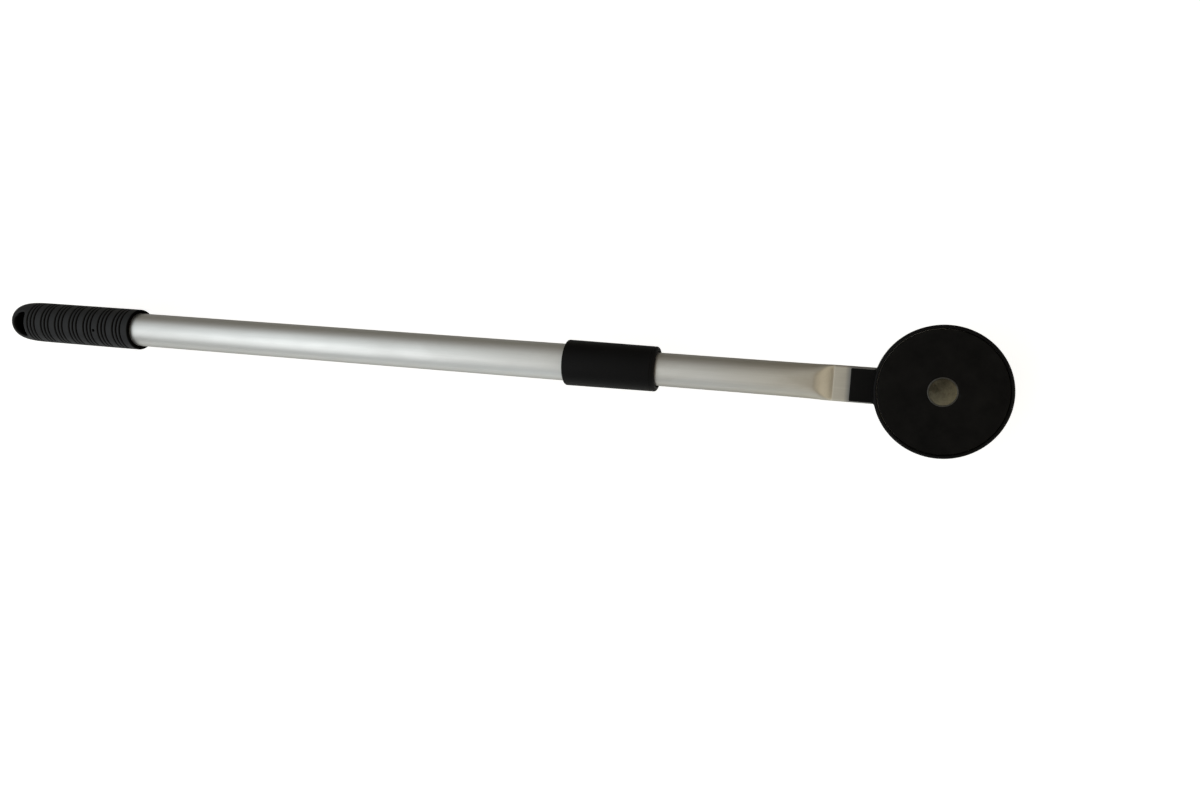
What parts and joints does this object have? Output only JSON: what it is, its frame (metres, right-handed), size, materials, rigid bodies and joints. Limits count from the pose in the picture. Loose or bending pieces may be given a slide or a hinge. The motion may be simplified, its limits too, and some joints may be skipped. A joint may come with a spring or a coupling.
{
  "type": "telescopic magnetic sweeper",
  "caption": "Hand-held magnetic sweeper: round ring-magnet head on a telescopic aluminium pole with a twist-lock collar and a ribbed rubber grip.",
  "frame": {"origin": "centre of the magnet's working face", "axes": "+Z out of the working face, +X along the pole from the handgrip towards the magnet head"},
  "size_m": [0.7369, 0.08, 0.0324],
  "materials": {
    "grip_rubber": "matte, slightly worn",
    "outer_aluminium": "satin anodised",
    "inner_aluminium": "satin anodised, slightly darker",
    "collar_plastic": "fine matte",
    "housing_plastic": "moulded, satin",
    "nylon": "natural moulded nylon",
    "bush_plastic": "moulded",
    "soft_rubber": "soft, matte",
    "ferrite": "pressed and ground ferrite",
    "core_steel": "ground, stained",
    "sleeve_metal": "turned",
    "zinc_steel": "zinc plated",
    "black_steel": "black oxide",
    "brass": "knurled"
  },
  "bodies": {
    "handle": {"handgrip": "grip_rubber", "outer_tube": "outer_aluminium", "collet_bush": "bush_plastic"},
    "clamp": {"clamp_ring": "nylon", "thrust_washer": "nylon"},
    "collar": {"lock_collar": "collar_plastic", "wiper_ring": "soft_rubber"},
    "guide": {"guide_sleeve": "nylon"},
    "pole": {"inner_tube": "inner_aluminium", "tail_plug": "bush_plastic", "head_housing": "housing_plastic", "back_plate": "zinc_steel", "ring_magnet": "ferrite", "core_sleeve": "sleeve_metal", "magnet_core": "core_steel", "core_washer": "zinc_steel", "core_spring_washer": "zinc_steel", "core_nut": "zinc_steel", "arm_screw": "black_steel", "arm_insert": "brass", "floor_screw": "black_steel", "nut_strip": "zinc_steel"}
  },
  "joints": [
    {"name": "telescope", "type": "slide", "parent": "handle", "child": "guide", "axis": [1, 0, 0], "range_m": [-0.081, 0.2808]},
    {"name": "pole_spin", "type": "hinge", "parent": "guide", "child": "pole", "pos_m": [-0.5, 0, -0.017], "axis": [1, 0, 0], "continuous": true},
    {"name": "clamp_travel", "type": "slide", "parent": "handle", "child": "clamp", "axis": [1, 0, 0], "range_m": [0, 0.002]},
    {"name": "collar_turn", "type": "hinge", "parent": "clamp", "child": "collar", "pos_m": [-0.2, 0, -0.017], "axis": [1, 0, 0], "range_deg": [0, 180]}
  ],
  "couplings": [
    {"joint": "clamp_travel", "follows": "collar_turn", "m_per_rad": 0.00063662}
  ]
}
